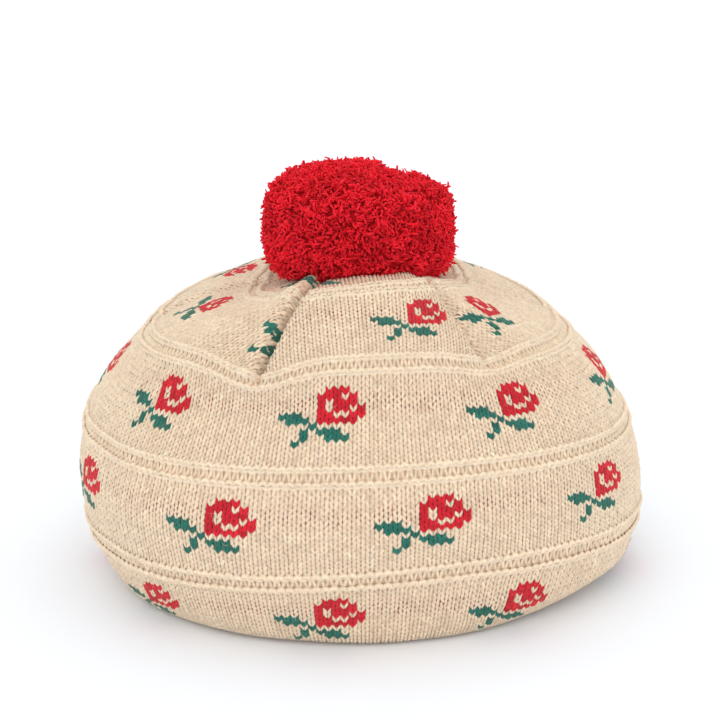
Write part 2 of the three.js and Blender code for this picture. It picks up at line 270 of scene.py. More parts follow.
def points(radius, height, turn):
    """Points in metres in the part's frame."""
    return np.stack([radius * np.sin(turn), -radius * np.cos(turn), height], -1) * MM + (AXIS.x, AXIS.y, 0)


# ---- meshes ----
def make(name, verts, faces, material, colours, strand=None, *, replaces=()):
    """A piece from its vertices, triangles or quads, and each vertex's colour and place along its strand."""
    mesh = bpy.data.meshes.new(name)
    faces = np.asarray(faces, np.int32)
    sides = faces.shape[1]
    mesh.vertices.add(len(verts))
    mesh.vertices.foreach_set("co", np.asarray(verts, np.float32).ravel())
    mesh.loops.add(faces.size)
    mesh.loops.foreach_set("vertex_index", faces.ravel())
    mesh.polygons.add(len(faces))
    mesh.polygons.foreach_set("loop_start", np.arange(len(faces), dtype=np.int32) * sides)
    mesh.update(calc_edges=True)
    mesh.polygons.foreach_set("use_smooth", np.full(len(faces), True))
    data = np.ones((len(verts), 4), np.float32)
    data[:, :3] = colours
    mesh.attributes.new("tint", "FLOAT_COLOR", "POINT").data.foreach_set("color", data.ravel())
    if strand is not None:
        layer = mesh.attributes.new("strand", "FLOAT_VECTOR", "POINT")
        layer.data.foreach_set("vector", np.asarray(strand, np.float32).ravel())
    mesh.validate()
    obj = bpy.data.objects.new(name, mesh)
    bpy.context.scene.collection.objects.link(obj)
    obj.data.materials.append(material)
    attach(obj, "root")
    if replaces:
        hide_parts(*replaces)


# ---- materials ----
BLOOM_COLOUR = (1.0, 0.84, 0.68, 1)
CLOUD_SCALE, PLY_SCALE, FIBRE_SCALE = 900, 1.0, 4200
CLOUD_SHADES = (0.86, 1.08)
PLY_HEIGHT, FIBRE_HEIGHT = 0.00025, 0.0002  # metres
SUBSURFACE_SCALE = 0.002  # metres


def wool(name, ply_bump, fibre_bump, sheen, subsurface, radius):
    """Matt woollen yarn: colour from the stitches, two twisted plies, and a bloom of fine fibres."""
    material = bpy.data.materials.new(name)
    material.use_nodes = True
    nodes, links = material.node_tree.nodes, material.node_tree.links
    shader = nodes["Principled BSDF"]
    shader.inputs["Roughness"].default_value = 0.88
    shader.inputs["Specular IOR Level"].default_value = 0.25
    shader.inputs["Sheen Weight"].default_value = sheen
    shader.inputs["Sheen Roughness"].default_value = 0.45
    shader.inputs["Sheen Tint"].default_value = BLOOM_COLOUR
    shader.inputs["Subsurface Weight"].default_value = subsurface
    shader.inputs["Subsurface Radius"].default_value = radius
    shader.inputs["Subsurface Scale"].default_value = SUBSURFACE_SCALE
    tint = nodes.new("ShaderNodeAttribute")
    tint.attribute_name = "tint"
    coordinates = nodes.new("ShaderNodeTexCoord")
    cloud = nodes.new("ShaderNodeTexNoise")
    cloud.inputs["Scale"].default_value = CLOUD_SCALE
    cloud.inputs["Detail"].default_value = 3
    links.new(coordinates.outputs["Object"], cloud.inputs["Vector"])
    ramp = nodes.new("ShaderNodeMapRange")
    ramp.inputs["From Min"].default_value = 0.3
    ramp.inputs["From Max"].default_value = 0.7
    ramp.inputs["To Min"].default_value = CLOUD_SHADES[0]
    ramp.inputs["To Max"].default_value = CLOUD_SHADES[1]
    links.new(cloud.outputs["Fac"], ramp.inputs["Value"])
    shade = nodes.new("ShaderNodeVectorMath")
    shade.operation = "SCALE"
    links.new(tint.outputs["Color"], shade.inputs[0])
    links.new(ramp.outputs["Result"], shade.inputs["Scale"])
    links.new(shade.outputs["Vector"], shader.inputs["Base Color"])

    strand = nodes.new("ShaderNodeAttribute")
    strand.attribute_name = "strand"
    plies = nodes.new("ShaderNodeTexWave")
    plies.wave_type = "BANDS"
    plies.bands_direction = "DIAGONAL"
    plies.inputs["Scale"].default_value = PLY_SCALE
    links.new(strand.outputs["Vector"], plies.inputs["Vector"])
    twist = nodes.new("ShaderNodeBump")
    twist.inputs["Strength"].default_value = ply_bump
    twist.inputs["Distance"].default_value = PLY_HEIGHT
    links.new(plies.outputs["Fac"], twist.inputs["Height"])
    fibres = nodes.new("ShaderNodeTexNoise")
    fibres.inputs["Scale"].default_value = FIBRE_SCALE
    fibres.inputs["Detail"].default_value = 4
    links.new(coordinates.outputs["Object"], fibres.inputs["Vector"])
    fuzz = nodes.new("ShaderNodeBump")
    fuzz.inputs["Strength"].default_value = fibre_bump
    fuzz.inputs["Distance"].default_value = FIBRE_HEIGHT
    links.new(fibres.outputs["Fac"], fuzz.inputs["Height"])
    links.new(twist.outputs["Normal"], fuzz.inputs["Normal"])
    links.new(fuzz.outputs["Normal"], shader.inputs["Normal"])
    return material


CREAM_GLOW, RED_GLOW = (1.0, 0.7, 0.5), (1.0, 0.1, 0.1)  # how far light of each colour spreads inside
knit_wool = wool("knit_wool", 0.5, 0.6, 0.25, 0.25, CREAM_GLOW)
back_wool = wool("back_wool", 0.0, 0.7, 0.1, 0.0, CREAM_GLOW)
band_wool = wool("band_wool", 0.0, 0.7, 0.25, 0.15, CREAM_GLOW)
pompom_wool = wool("pompom_wool", 0.0, 0.4, 0.03, 0.3, RED_GLOW)

CREAM = linear(244, 220, 191)
ROSE = linear(208, 30, 46)
LEAF = linear(42, 112, 98)
CREAM_IN_PAINTED_SHADE = linear(214, 176, 146)  # painted shade: the cream wool darkened where it lies deep between the stitches
# painted shade: the rose and leaf yarns darkened where their floats lie deep between the stitches
FLOAT_RED_IN_PAINTED_SHADE = linear(140, 20, 30)
FLOAT_GREEN_IN_PAINTED_SHADE = linear(20, 58, 52)
# the pompom's red at the tips of its yarn, and the same red darkened with painted shade deep among the yarn
# ends
POM_RED_IN_PAINTED_SHADE = linear(196, 0, 18)
POM_TIP = linear(246, 26, 46)
YARNS = np.stack([CREAM, ROSE, LEAF])


# ---- stitches ----
def chart(row, wale):
    """Each stitch's yarn (0 cream, 1 rose, 2 leaf), its line of the sprig (0 outside it) and its column."""
    band = np.floor_divide(row, ROWS)
    line = row - band * ROWS - SPRIG_FIRST
    offset = np.where(band % 2 == 0, SPRIG_EVERY // 2, 0)
    for low, high, drift in CROWN_DRIFTS:
        offset = offset - drift * ((band == 0) & (wale > low) & (wale < high))
    col = np.mod(wale - offset + SPRIG_LEFT + 0.5, SPRIG_EVERY).astype(int)
    lines, columns = SPRIG_KINDS.shape
    in_rows = (line >= 0) & (line < lines) & (band < RIDGE_PAIRS)
    plain = (band == 0) & (wale > CROWN_PLAIN[0]) & (wale < CROWN_PLAIN[1])
    kind = SPRIG_KINDS[np.clip(line, 0, lines - 1), np.clip(col, 0, columns - 1)]
    return np.where(in_rows & ~plain & (col < columns), kind, 0), np.where(in_rows, line + 1, 0), col


def stitch_grid(first, last):
    """Row, course, height in courses, wale, panel's middle and half width of each stitch of some rows."""
    wales = np.arange(WALES) - WALES / 2 + 0.5
    row, wale = (a.ravel() for a in np.meshgrid(np.arange(first, last + 1), wales, indexing="ij"))
    course = course_of_row(row)
    pitch = (course_of_row(row + 1) - course_of_row(row - 1)) / 2
    middle, half, wale = panel_of(wale)
    stays = (np.abs(wale - middle) <= half * kept(course) + DART_OVERLAP) | (course >= CROWN_COURSE)
    return row[stays], course[stays], pitch[stays], wale[stays], middle[stays], half[stays]


def is_ridge(row):
    k = row % ROWS
    return np.isin(k, RIDGE_ROWS) & (row >= 0) & (row < RIDGE_PAIRS * ROWS)


def strands(path_wale, path_course, path_out, half_width, thick, course, wale, middle, half, metric,
            wale_round=0.0):
    """Short bent lengths of yarn lying on the hat.

    The path arrays are (stitches, steps): wales and courses from the stitch's own place, and height in mm.
    The first and last steps are pointed, the others have an edge, a crest and an edge. Returns vertices,
    triangles, places along the strand and the number of vertices of each length.
    """
    wide, tall = metric
    steps = path_wale.shape[1]
    d_wale = np.gradient(path_wale, axis=1) * wide[:, None]
    d_course = np.gradient(path_course, axis=1) * tall[:, None]
    size = np.hypot(d_wale, d_course)
    across_w, across_c = -d_course / size / wide[:, None], d_wale / size / tall[:, None]
    w, c, o, s, t = [], [], [], [], []
    for k in range(steps):
        for side in ((0,) if k in (0, steps - 1) else (-1, 0, 1)):
            w.append(path_wale[:, k] + side * across_w[:, k] * half_width[:, k])
            c.append(path_course[:, k] + side * across_c[:, k] * half_width[:, k])
            o.append(path_out[:, k] + (0 if side else 1) * thick - wale_round * np.sin(np.pi * w[-1]) ** 2)
            s.append(np.full(len(wale), side))
            t.append(np.full(len(wale), k / (steps - 1)))
    w, c, o, s, t = (np.stack(a, 1) for a in (w, c, o, s, t))
    courses = course[:, None] + c
    turn = turn_on_panel(courses, wale[:, None] + w, middle[:, None], half[:, None])
    radius, height, _ = place(courses, turn, o)
    verts = points(radius, height, turn)
    each = verts.shape[1]
    tris = [(0, 1, 2), (0, 2, 3)]
    for k in range(steps - 3):
        a = 1 + 3 * k
        for b in (a, a + 1):
            tris += [(b, b + 3, b + 4), (b, b + 4, b + 1)]
    a = 1 + 3 * (steps - 3)
    tris += [(a, each - 1, a + 1), (a + 1, each - 1, a + 2)]
    faces = (np.arange(len(wale))[:, None, None] * each + np.array(tris)[None]).reshape(-1, 3)
    strand = np.stack([s * STRAND_EDGE, t * STRAND_END, t * 0], -1).reshape(-1, 3)
    return verts.reshape(-1, 3), faces, strand, each


def metric_of(course, wale, middle, half):
    """Millimetres per wale and per course at each stitch."""
    step, least = 0.1, 0.8
    turn = turn_on_panel(course, wale, middle, half)
    nearby = turn_on_panel(course, wale + step, middle, half)
    radius, _, tall = place(course, turn, np.zeros_like(course))
    return np.maximum(np.abs(turn_difference(nearby, turn)) * radius / step, least), np.maximum(tall, least)


STEPS = np.array([0, 0.2, 0.5, 0.8, 1.0])  # along a stitch's leg
# a leg of a stitch: where it starts and how far it leans out, in wales; its top and length, in rows
LEG_START, LEG_LEAN, LEG_BOW = 0.08, 0.32, 0.9
LEG_TOP, LEG_LENGTH = 0.7, 1.42
LEG_RISE, LEG_SUNK, LEG_THICK = 0.5, 0.6, 0.6
LEG_ARCH = STEPS * 0.95 + 0.02  # how far along the arch that it rises in each step is
LEG_HALF_WIDTH = 0.2  # wales
LEG_PROFILE = np.array([0, 0.88, 1.0, 0.88, 0])
# how much legs differ: in lean and width (wales), in place (courses), in height (mm) and in brightness
LEAN_VARIES, WIDTH_VARIES, PLACE_VARIES, HEIGHT_VARIES, LEG_TINT_VARIES = 0.025, 0.008, 0.06, 0.05, 0.03
STRAND_EDGE, STRAND_END = 0.6, 4  # a strand's own coordinates, for its plies
WALE_ROUND = 0.4  # mm that a column of stitches falls away at its sides
DART_SHADE = 0.07  # light lost in a dart for each mm of its depth
DART_SHADE_WIDTH = 0.55  # wales
DART_SHALLOW = 1.5  # mm of its depth that cost no light
DART_SHADE_COURSES = (-6, 2)  # over which the shade sets in
# painted light on a strand's crest and painted shade at its edges
CREST_PAINTED_LIGHT = 1.05
EDGE_PAINTED_SHADE = 0.2
# the coloured stitches are fuller by these shares and stand this many mm prouder
BOLD_WIDTH, BOLD_LENGTH, BOLD_RISE = 0.2, 0.14, 0.12
# the red floats tinge the cream stitches on the flowers' lines; the crown's stitches near the pompom take
# more, partly from floats and partly as painted red light bounced from the pompom
FLOWER_LINES = (1, 5)
FLOWER_BLUSH, CROWN_TINGE_AND_BOUNCE = 0.03, 0.15


def dart_shade(course, wale):
    """What is left of the light close to a dart of the crown."""
    middle, half, w = panel_of(wale)
    gap = np.abs(np.abs(w - middle) - half * kept(course))
    ends = np.where(w > middle, middle + half, middle - half)
    crease = np.interp(ends, np.append(DARTS[:, 0], DARTS[0, 0] + WALES), np.append(DARTS[:, 1], DARTS[0, 1]))
    crown = 1 - smoothstep(course, CROWN_COURSE - 2, CROWN_COURSE)
    crown = crown * smoothstep(course, *DART_SHADE_COURSES)
    return 1 - np.clip(DART_SHADE * (crease - DART_SHALLOW), 0, 1) * bell(gap / DART_SHADE_WIDTH) * crown


CREAM_VARIES, COLOURED_VARIES = 0.04, 2.5  # a share of the brightness, and how many times that


def tint_of(row, wale, kind, line, amount=CREAM_VARIES):
    """Yarn colour of each stitch, a little different from one to the next; darkened with painted shade near
    the darts, and tinged pink on the crown, partly with painted red light from the pompom.
    """
    amount = np.where(kind == 0, amount, COLOURED_VARIES * amount)
    colour = YARNS[kind] * (1 + amount * rng.standard_normal(len(kind)))[:, None]
    in_flower = (kind == 0) & between(line, FLOWER_LINES)
    red_tinge_and_bounce = np.where(in_flower, FLOWER_BLUSH, 0)[:, None]
    # on the crown: the floats' tinge together with painted red light from the pompom
    red_tinge_and_bounce = red_tinge_and_bounce + np.where((kind == 0) & (row < 0), CROWN_TINGE_AND_BOUNCE, 0)[:, None]
    colour = colour * dart_shade(course_of_row(row), wale)[:, None]
    return np.clip(colour * (1 - red_tinge_and_bounce) + ROSE * red_tinge_and_bounce, 0, 1)


def strand_painted_shading(strand):
    """Painted light and shade across a strand: lighter on its crest, darker at its edges, as a round yarn is
    lit.
    """
    return CREST_PAINTED_LIGHT - EDGE_PAINTED_SHADE * np.abs(strand[:, :1]) / STRAND_EDGE


def knit_stitches(name, first, last):
    """The smooth side's stitches from one row to another, each of two legs."""
    row, course, pitch, wale, middle, half = stitch_grid(first, last)
    plain = ~is_ridge(row)
    row, course, pitch, wale, middle, half = (a[plain] for a in (row, course, pitch, wale, middle, half))
    kind, line, _ = chart(row, wale)
    colour = tint_of(row, wale, kind, line)
    metric = metric_of(course, wale, middle, half)
    n = len(course)
    bold = (kind > 0)[:, None]
    verts, faces, strand, tints = [], [], [], []
    count = 0
    for side in (-1, 1):
        jitter = rng.standard_normal((n, 3))
        lean = LEG_LEAN + LEAN_VARIES * jitter[:, :1]
        path_wale = side * (LEG_START + lean * STEPS[None] ** LEG_BOW)
        path_course = (LEG_TOP - LEG_LENGTH * STEPS[None]) * (1 + BOLD_LENGTH * bold) * pitch[:, None]
        path_course = path_course + PLACE_VARIES * jitter[:, 1:2]
        lift = LEG_RISE * np.sin(np.pi * LEG_ARCH)[None] - LEG_SUNK
        path_out = lift + HEIGHT_VARIES * jitter[:, 2:3] + BOLD_RISE * bold
        profile = LEG_PROFILE[None] * (1 + BOLD_WIDTH * bold)
        half_width = profile * (LEG_HALF_WIDTH + WIDTH_VARIES * jitter[:, :1]) * metric[0][:, None]
        v, f, s, each = strands(path_wale, path_course, path_out, half_width, LEG_THICK,
                                course, wale, middle, half, metric, WALE_ROUND)
        faces.append(f + count)
        count += len(v)
        verts.append(v)
        strand.append(s)
        tints.append(np.repeat(colour * (1 + LEG_TINT_VARIES * jitter[:, :1]), each, 0) * strand_painted_shading(s))
    make(name, np.concatenate(verts), np.concatenate(faces), knit_wool,
         np.clip(np.concatenate(tints), 0, 1), np.concatenate(strand))


PURL_REACH = 0.6  # wales to each side
PURL_HALF_WIDTH, PURL_THICK = 1.2, 0.85
PURL_RISE, PURL_SUNK, BOWL_SUNK = 0.6, 0.3, 0.45
PURL_PROFILE = np.array([0, 0.9, 1, 0.9, 0])
# painted light: the ridges' cream is a little brighter, as raised yarn catching the light
PURL_PAINTED_LIGHT, PURL_TINT_VARIES = 1.02, 0.03
# the arch's and the bowl's course in the middle, and how far down from it their ends are (minus is up)
PURL_ARCH, PURL_BOWL = (-0.42, 0.85), (0.45, -0.3)
PURL_PLACE_VARIES, PURL_HEIGHT_VARIES = 0.05, 0.06


def purl_ridges():
    """Each purl row is a scalloped cord: a fat arch over every wale and a lower bowl between them."""
    verts, faces, strand, tints = [], [], [], []
    count = 0
    across = np.linspace(-PURL_REACH, PURL_REACH, len(PURL_PROFILE))[None]
    for pair in range(RIDGE_PAIRS):
        for ridge in RIDGE_ROWS:
            row, course, _, wale, middle, half = stitch_grid(pair * ROWS + ridge, pair * ROWS + ridge)
            metric = metric_of(course, wale, middle, half)
            n = len(course)
            for bowl, (crest, bend) in enumerate((PURL_ARCH, PURL_BOWL)):
                jitter = rng.standard_normal((n, 2))
                curve = (across / PURL_REACH) ** 2
                path_wale = across + 0.5 * bowl + np.zeros((n, 1))
                path_course = crest + bend * curve + PURL_PLACE_VARIES * jitter[:, :1]
                path_out = PURL_RISE * (1 - curve) - PURL_SUNK - BOWL_SUNK * bowl
                path_out = path_out + PURL_HEIGHT_VARIES * jitter[:, 1:]
                half_width = PURL_PROFILE[None] * PURL_HALF_WIDTH + np.zeros((n, 1))
                v, f, s, each = strands(path_wale, path_course, path_out, half_width, PURL_THICK,
                                        course, wale, middle, half, metric)
                faces.append(f + count)
                verts.append(v)
                count += len(v)
                strand.append(s)
                cream = np.zeros(n, int)  # its yarn, and no line of the sprig
                # painted light on the ridge
                tint = tint_of(row, wale, cream, cream, PURL_TINT_VARIES) * PURL_PAINTED_LIGHT
                tints.append(np.repeat(tint, each, 0) * strand_painted_shading(s))
    make("purl_ridges", np.concatenate(verts), np.concatenate(faces), knit_wool,
         np.clip(np.concatenate(tints), 0, 1), np.concatenate(strand))


BACK_SUNK = 0.6  # how deep it lies under the hat's smooth face
BACK_APEX, BACK_SECOND = -21.5, -20  # its topmost courses
INSIDE_STEP = 2  # courses
SHADE_RANGE = (0.88, 0.24)  # of the painted shade on the cream between the stitches: the least, and the random rest
FLOAT_RED_LINES, FLOAT_GREEN_LINES, FLOAT_GREEN_COLUMNS = (2, 4), (4, 6), 4
INSIDE_RED_LINES, INSIDE_GREEN_LINE = (1, 6), 7
FLOAT_MOST = 0.8  # the largest share of a float's colour that shows between the stitches
FLOAT_DRAW, RED_GAPS, GREEN_GAPS = 1.5, 0.2, 0.3  # the share is a random draw times the first, less a gap
INSIDE_RED, INSIDE_GREEN = 0.5, 0.3  # the share that shows on the inside
INSIDE_BRIGHT = 0.9


def fabric_back():
    """The fabric behind the stitches: floats of yarn show between them, and its inside is the wrong side; on
    the outside the cream and the floats are darkened with painted shade.
    """
    per_wale = 2
    n = WALES * per_wale
    wales = np.arange(n) / per_wale - WALES / 2
    outer = np.concatenate([[BACK_APEX], np.arange(BACK_SECOND, LAST_COURSE + 1)]).astype(float)
    inner = np.concatenate([np.arange(LAST_COURSE, BACK_SECOND - 1, -INSIDE_STEP), [BACK_APEX]]).astype(float)
    course = np.concatenate([outer, inner])
    depth = np.concatenate([np.full(len(outer), -BACK_SUNK), np.full(len(inner), -FABRIC)])
    c, w = (a.ravel() for a in np.meshgrid(course, wales, indexing="ij"))
    out = np.repeat(depth, n)
    turn = turn_of_wale(w)
    radius, height, _ = place(c, turn, out)
    verts = points(radius, height, turn)
    rows = len(course)
    i, j = (a.ravel() for a in np.meshgrid(np.arange(rows - 1), np.arange(n), indexing="ij"))
    k = (j + 1) % n
    faces = np.stack([i * n + j, (i + 1) * n + j, (i + 1) * n + k, i * n + k], -1)
    # floats: red behind the flowers' rows, green beside the leaves; outside, they and the cream are darkened
    # with painted shade
    middle, _, w = panel_of(w)
    w = np.where(c < CROWN_COURSE, middle + (w - middle) * kept(c), w)
    kind, line, col = chart(row_of_course(c), np.floor(w) + 0.5)
    draw = rng.random((3, WALES * rows)).repeat(per_wale, 1)
    colour = CREAM_IN_PAINTED_SHADE[None] * (SHADE_RANGE[0] + SHADE_RANGE[1] * draw[0])[:, None]
    red = between(line, FLOAT_RED_LINES) * np.clip(draw[1] * FLOAT_DRAW - RED_GAPS, 0, 1) * FLOAT_MOST
    by_leaf = between(line, FLOAT_GREEN_LINES) & (col < FLOAT_GREEN_COLUMNS)
    green = by_leaf * np.clip(draw[2] * FLOAT_DRAW - GREEN_GAPS, 0, 1) * FLOAT_MOST
    inside = np.repeat(np.arange(rows) >= len(outer), n)
    red = np.where(inside, INSIDE_RED * between(line, INSIDE_RED_LINES), red)
    green = np.where(inside, INSIDE_GREEN * (line >= INSIDE_GREEN_LINE), green)
    cream = (1 - red - green).clip(0)[:, None]
    outside = colour * cream + FLOAT_RED_IN_PAINTED_SHADE * red[:, None] + FLOAT_GREEN_IN_PAINTED_SHADE * green[:, None]
    wrong_side = CREAM * INSIDE_BRIGHT * cream + ROSE * red[:, None] + LEAF * green[:, None]
    colour = np.where(inside[:, None], wrong_side, outside)
    colour = np.where((kind == 1)[:, None] & ~inside[:, None], FLOAT_RED_IN_PAINTED_SHADE, colour)
    colour = np.where((kind == 2)[:, None] & ~inside[:, None], FLOAT_GREEN_IN_PAINTED_SHADE, colour)
    colour = colour * np.where(inside, 1, dart_shade(c, w) ** 2)[:, None]
    make("knit_fabric", verts, faces, back_wool, np.clip(colour, 0, 1),
         replaces=("knit_body",))


HAIR_COURSES = (-2, 82)
HAIR_LENGTH, HAIR_CURL, HAIR_RISE = (1.5, 4.0), (-1.5, 1.5), (0.3, 1.6)
HAIR_FOOT = 0.1  # mm off the wool
HAIR_ARCH = 0.6  # the share of an arch that it rises in
HAIR_STEPS = np.array([0, 0.35, 0.7, 1.0])
HAIR_HALF_WIDTHS = 0.03 * np.array([1, 1, 0.8, 0])
HAIRS = 9000


def loose_fibres(count):
    """Fine hairs that stand a little off the wool."""
    course = rng.uniform(*HAIR_COURSES, count)
    wale = rng.uniform(-WALES / 2, WALES / 2, count)
    middle, half, wale = panel_of(wale)
    stays = np.abs(wale - middle) <= half * kept(course)
    course, wale, middle, half = course[stays], wale[stays], middle[stays], half[stays]
    n = len(course)
    wide, tall = metric_of(course, wale, middle, half)
    length = rng.uniform(*HAIR_LENGTH, n)
    heading = rng.uniform(0, 2 * np.pi, n)
    curl = rng.uniform(*HAIR_CURL, n)
    rise = rng.uniform(*HAIR_RISE, n)
    angle = heading[:, None] + curl[:, None] * HAIR_STEPS
    stride = length[:, None] / len(HAIR_STEPS)
    dw = np.cumsum(np.cos(angle) * stride, 1) / wide[:, None]
    dc = np.cumsum(np.sin(angle) * stride, 1) / tall[:, None]
    out = HAIR_FOOT + rise[:, None] * np.sin(np.pi * HAIR_ARCH * HAIR_STEPS)
    rows = []
    for side in (-1, 1):
        w = wale[:, None] + dw - side * np.sin(angle) * HAIR_HALF_WIDTHS / wide[:, None]
        c = course[:, None] + dc + side * np.cos(angle) * HAIR_HALF_WIDTHS / tall[:, None]
        turn = turn_on_panel(c, w, middle[:, None], half[:, None])
        radius, height, _ = place(c, turn, out)
        rows.append(points(radius, height, turn))
    # a hair's two edges, step by step; at its tip they meet, so the last vertex is left out
    verts = np.stack(rows, 2).reshape(n, 8, 3)[:, :7]
    tris = np.array([(0, 1, 3), (0, 3, 2), (2, 3, 5), (2, 5, 4), (4, 5, 6)])
    faces = (np.arange(n)[:, None, None] * 7 + tris[None]).reshape(-1, 3)
    kind, _, _ = chart(row_of_course(course), np.floor(wale) + 0.5)
    make("loose_fibres", verts.reshape(-1, 3), faces, knit_wool, np.repeat(YARNS[kind], 7, 0))


# ---- the ribbed band ----
BAND_OUTER = 77.2
BAND_WALL = 3.2
BAND_TOP = 25.7  # just under the top of the solid's
BAND_ROWS = 34
BAND_LIP = 1.2  # height of its rolled lower edge
BAND_COURSE = 2.4  # height of a stitch
BAND_STITCH = 0.16  # how far a stitch stands out
BAND_RIBS = 36
RIB_DEPTH = 0.8
RIBS_END, RIBS_FADE = 19, 2  # the ribs fade out below this height
# painted shade and light: the band's cream is darker in the hollows between the ribs, lighter on the ribs and
# on its stitches' crests
BAND_SHADE, RIB_LIGHT, BAND_STITCH_LIGHT = 0.72, 0.26, 0.4


def ribbed_band():
    """A ring of doubled fabric with upright ribs and the small chevrons of its stitches."""
    per_rib = 8
    n = BAND_RIBS * per_rib
    levels = []
    z_out = np.linspace(BAND_TOP, BAND_LIP, BAND_ROWS)
    for z in z_out:
        levels.append((BAND_OUTER, z, 1))
    for degrees in np.linspace(15, 165, 5):  # the rolled lower edge
        across, down = math.cos(math.radians(degrees)), math.sin(math.radians(degrees))
        r = BAND_OUTER - BAND_WALL / 2
        levels.append((r + BAND_WALL / 2 * across, BAND_LIP - BAND_LIP * down, across))
    for z in z_out[::-1]:
        levels.append((BAND_OUTER - BAND_WALL, z, -1))
    turn = np.arange(n) / n * 2 * np.pi
    phase = np.arange(n) / per_rib
    verts, tints = [], []
    for radius, z, side in levels:
        ribs = 0.5 + 0.5 * np.cos(2 * np.pi * phase)
        fade = 1 - smoothstep(np.array(z), RIBS_END - RIBS_FADE, RIBS_END)
        course = z / BAND_COURSE
        chevron = np.abs((phase * 2 % 1) - 0.5)
        stitch = BAND_STITCH * np.cos(2 * np.pi * (course + chevron))
        r = radius + side * (RIB_DEPTH * (ribs - 1) * fade + stitch * (0.4 + 0.6 * ribs) - 0.1)
        verts.append(points(r, np.full(n, float(z)), turn))
        tints.append(CREAM[None] * (BAND_SHADE + RIB_LIGHT * ribs + BAND_STITCH_LIGHT * stitch)[:, None])
    m = len(levels)
    i, j = (a.ravel() for a in np.meshgrid(np.arange(m), np.arange(n), indexing="ij"))
    k, i2 = (j + 1) % n, (i + 1) % m
    faces = np.stack([i * n + j, i2 * n + j, i2 * n + k, i * n + k], -1)
    make("ribbed_band", np.concatenate(verts), faces, band_wool, np.clip(np.concatenate(tints), 0, 1),
         replaces=("rib_band",))


# ---- the pompom ----
POM = Vector((-2.8, 0, 174))  # its middle, from the foot of the hat's axis
POM_RADIUS = 43.5
POM_HALF_HEIGHT = 26
POM_SQUARENESS = 3.2
TO_LEVEL = POM_HALF_HEIGHT / POM_RADIUS * 1.25  # even directions are drawn to the level by this
POM_SKIRT, SKIRT_LEVEL, SKIRT_SPREAD = 2.2, -0.42, 0.22  # its lower rim hangs out further
POM_NOTCH = (3, 22, 6.5)  # the lower right shoulder: where it begins and is full, and its depth
NOTCH_LEVELS = (0.3, 0.7)
POM_PROUD = 3.0  # the yarn ends stand this far out of the ball
POM_STRAY, STRAY_SHARE = 1.8, 0.005  # a few of them this much further
POM_SUNK = 1.0  # what rests on the crown goes this deep into its wool
POM_FOOT = -21  # the ends below this level are pressed on the crown
YARN_ENDS = 2300
UPPER_FROM = 0.12  # the directions from this level up make the upper piece
END_SCATTER, END_RISE_RANGE = 0.012, (-0.5, 0.5)
LUMP_COUNT, LUMP_SHARPNESS, LUMP_SCATTER, LUMP_HEIGHT_RANGE = 46, 26, 0.12, (-1.0, 1.6)
TUFT_COUNT, TUFT_SCATTER, TUFT_RISE_RANGE = 420, 0.05, (-1.3, 0.8)
BRUSH_FIBRES = 8
BRUSH_DEPTH = 5.2
BRUSH_LEAN = 0.3  # once with its tuft and once by itself
BRUSH_SPREAD, ROOT_SPREAD, LENGTH_VARIES, BRUSH_TINT_VARIES = 0.3, 0.6, 0.07, 0.1
CURL_PATH = ((0.3, 0), (0.82, 0.3), (0.98, 0.95), (1.0, 1.2))  # a fibre's way up and over
CURL, CURL_SHARED = 1.6, 0.5
FIBRE_RADIUS = (0.5, 0.8)
FIBRE_SHAPE = (0.9, 1.0, 0.8)  # of that radius at each of its three rings
FIBRE_PAINTED_SHADES = np.array([0.1] * 3 + [0.6] * 3 + [0.95] * 3 + [1.0])  # painted shade along a fibre: its share of the tip's red, from its foot deep in the pompom to its tip
MIX_MOST, BRIGHT_RANGE = 1.15, (0.75, 1.25)
ASKEW = (0.3, 0.1, 0.2)  # added to the ball's normal, so that no fibre runs along it
PAINTED_LIGHT_PER_RISE = 0.4  # painted light: a fibre that stands out further is this much lighter for each mm, and one sunk deeper darker
MIDDLE_UNDER = 3.6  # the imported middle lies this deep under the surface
# painted shade: the middle's red is darker still than the shaded red at the fibres' feet
MIDDLE_PAINTED_SHADE = 0.8
MIDDLE_ROWS, MIDDLE_SIDES = 40, 96


def unit(vectors):
    return vectors / np.linalg.norm(vectors, axis=1)[:, None]


def pom_reach(direction):
    """From the middle to the ball's face: a squarish ball with its skirt and its shoulder."""
    level = np.hypot(direction[:, 0], direction[:, 1]) / POM_RADIUS
    up = np.abs(direction[:, 2]) / POM_HALF_HEIGHT
    reach = (level ** POM_SQUARENESS + up ** POM_SQUARENESS) ** (-1 / POM_SQUARENESS)
    shoulder = smoothstep(direction[:, 0] * reach, POM_NOTCH[0], POM_NOTCH[1])
    skirt = POM_SKIRT * bell((direction[:, 2] - SKIRT_LEVEL) / SKIRT_SPREAD)
    return reach + skirt - POM_NOTCH[2] * shoulder * smoothstep(direction[:, 2], *NOTCH_LEVELS)


def sphere_points(count, turned=0.0):
    """Directions spread evenly by the golden angle."""
    z = 1 - (np.arange(count) + 0.5) / count * 2
    turn = np.arange(count) * math.pi * (3 - math.sqrt(5)) + turned
    level = np.sqrt(1 - z * z)
    return np.stack([level * np.sin(turn), -level * np.cos(turn), z], -1)


LUMPS = unit(sphere_points(LUMP_COUNT, 1.0) + LUMP_SCATTER * rng.standard_normal((LUMP_COUNT, 3)))
LUMP_HEIGHT = rng.uniform(*LUMP_HEIGHT_RANGE, LUMP_COUNT)
TUFTS = unit(sphere_points(TUFT_COUNT) + TUFT_SCATTER * rng.standard_normal((TUFT_COUNT, 3)))
TUFT_LEAN = rng.standard_normal((TUFT_COUNT, 3))
TUFT_RISE = rng.uniform(*TUFT_RISE_RANGE, TUFT_COUNT)


def pom_surface(direction):
    """From the middle to where the yarn ends, with the soft lumps."""
    near = direction @ LUMPS.T
    weight = np.exp((near - 1) * LUMP_SHARPNESS)
    return pom_reach(direction) + POM_PROUD + (weight * LUMP_HEIGHT).sum(1)


